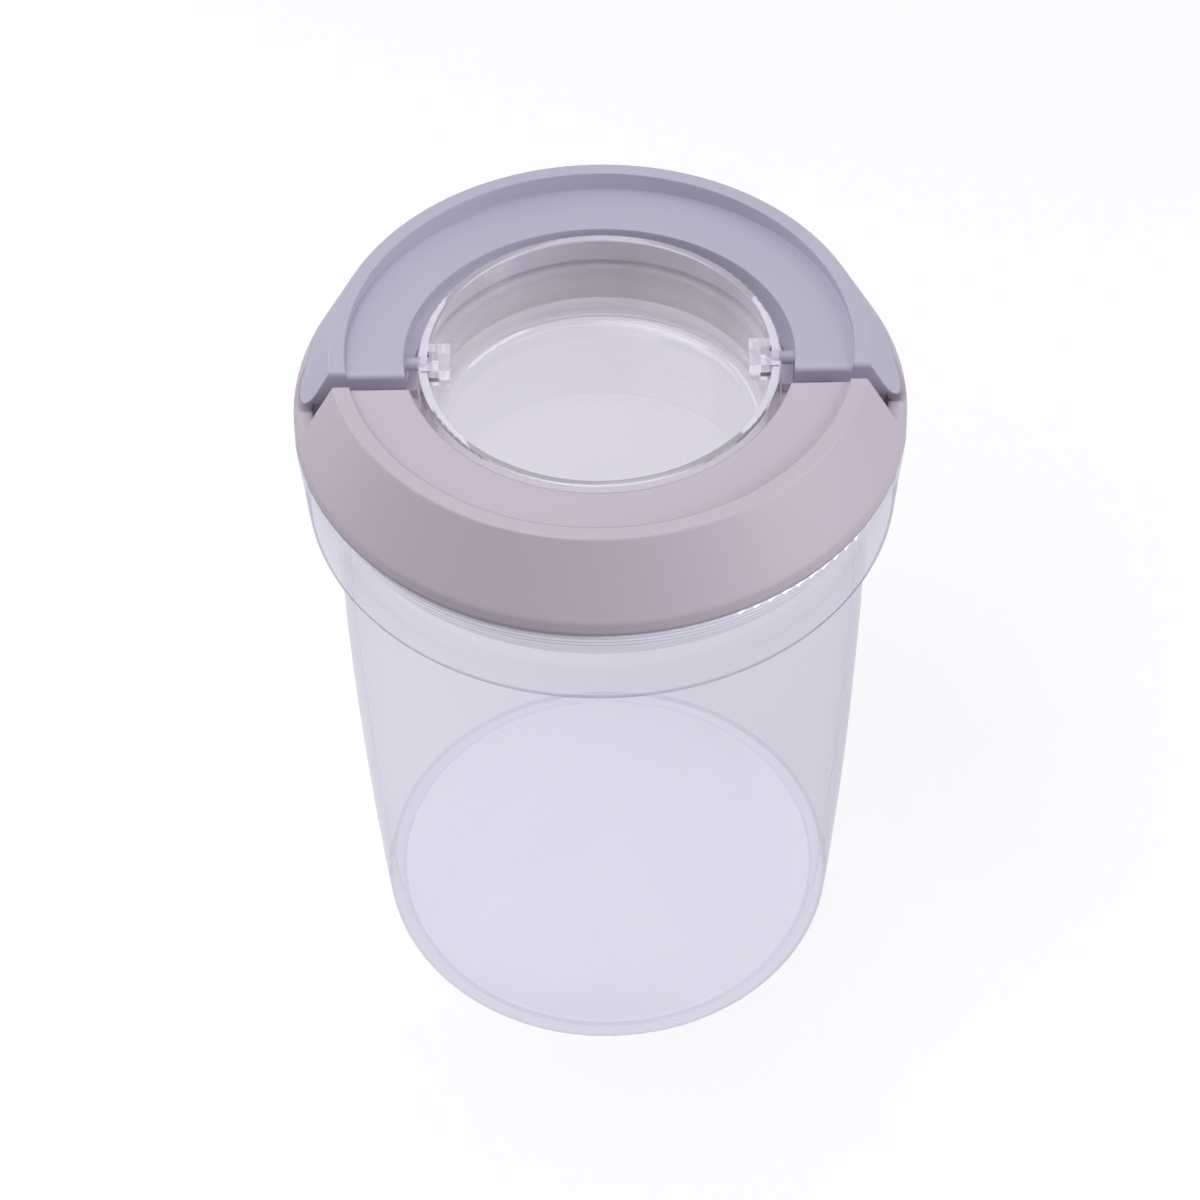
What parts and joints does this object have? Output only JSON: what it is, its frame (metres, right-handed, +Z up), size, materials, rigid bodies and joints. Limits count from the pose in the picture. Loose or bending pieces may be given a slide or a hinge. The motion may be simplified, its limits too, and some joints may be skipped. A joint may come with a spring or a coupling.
{
  "type": "food storage canister",
  "caption": "Round clear food canister with a flip-handle lid: cams on the handle draw a clear window cup up and squeeze a gasket against the mouth.",
  "frame": {"origin": "centre of the base, on the plane that the canister stands on", "axes": "+Z up along the canister's axis, -Y towards the fixed front half of the lid, X along the handle's pins"},
  "size_m": [0.1254, 0.1254, 0.1695],
  "materials": {
    "clear_body": "clear polished moulding",
    "clear_cup": "clear polished moulding",
    "ring_plastic": "satin warm grey",
    "handle_plastic": "satin cool grey",
    "gasket_silicone": "soft translucent grey"
  },
  "bodies": {
    "canister": {"canister": "clear_body"},
    "lid_ring": {"lid_ring": "ring_plastic", "squeeze_gasket": "gasket_silicone"},
    "window_cup": {"window_cup": "clear_cup"},
    "flip_handle": {"flip_handle": "handle_plastic"}
  },
  "joints": [
    {"name": "lid_lift", "type": "slide", "parent": "canister", "child": "lid_ring", "axis": [0, 0, 1], "range_m": [0, 0.1]},
    {"name": "cup_drop", "type": "slide", "parent": "lid_ring", "child": "window_cup", "axis": [0, 0, -1], "range_m": [0, 0.0016], "deforming": ["squeeze_gasket"]},
    {"name": "handle_flip", "type": "hinge", "parent": "window_cup", "child": "flip_handle", "pos_m": [0, 0, 0.1641], "axis": [1, 0, 0], "range_deg": [0, 90]}
  ],
  "couplings": [
    {"joint": "cup_drop", "follows": "handle_flip", "m_per_rad": 0.001018}
  ]
}
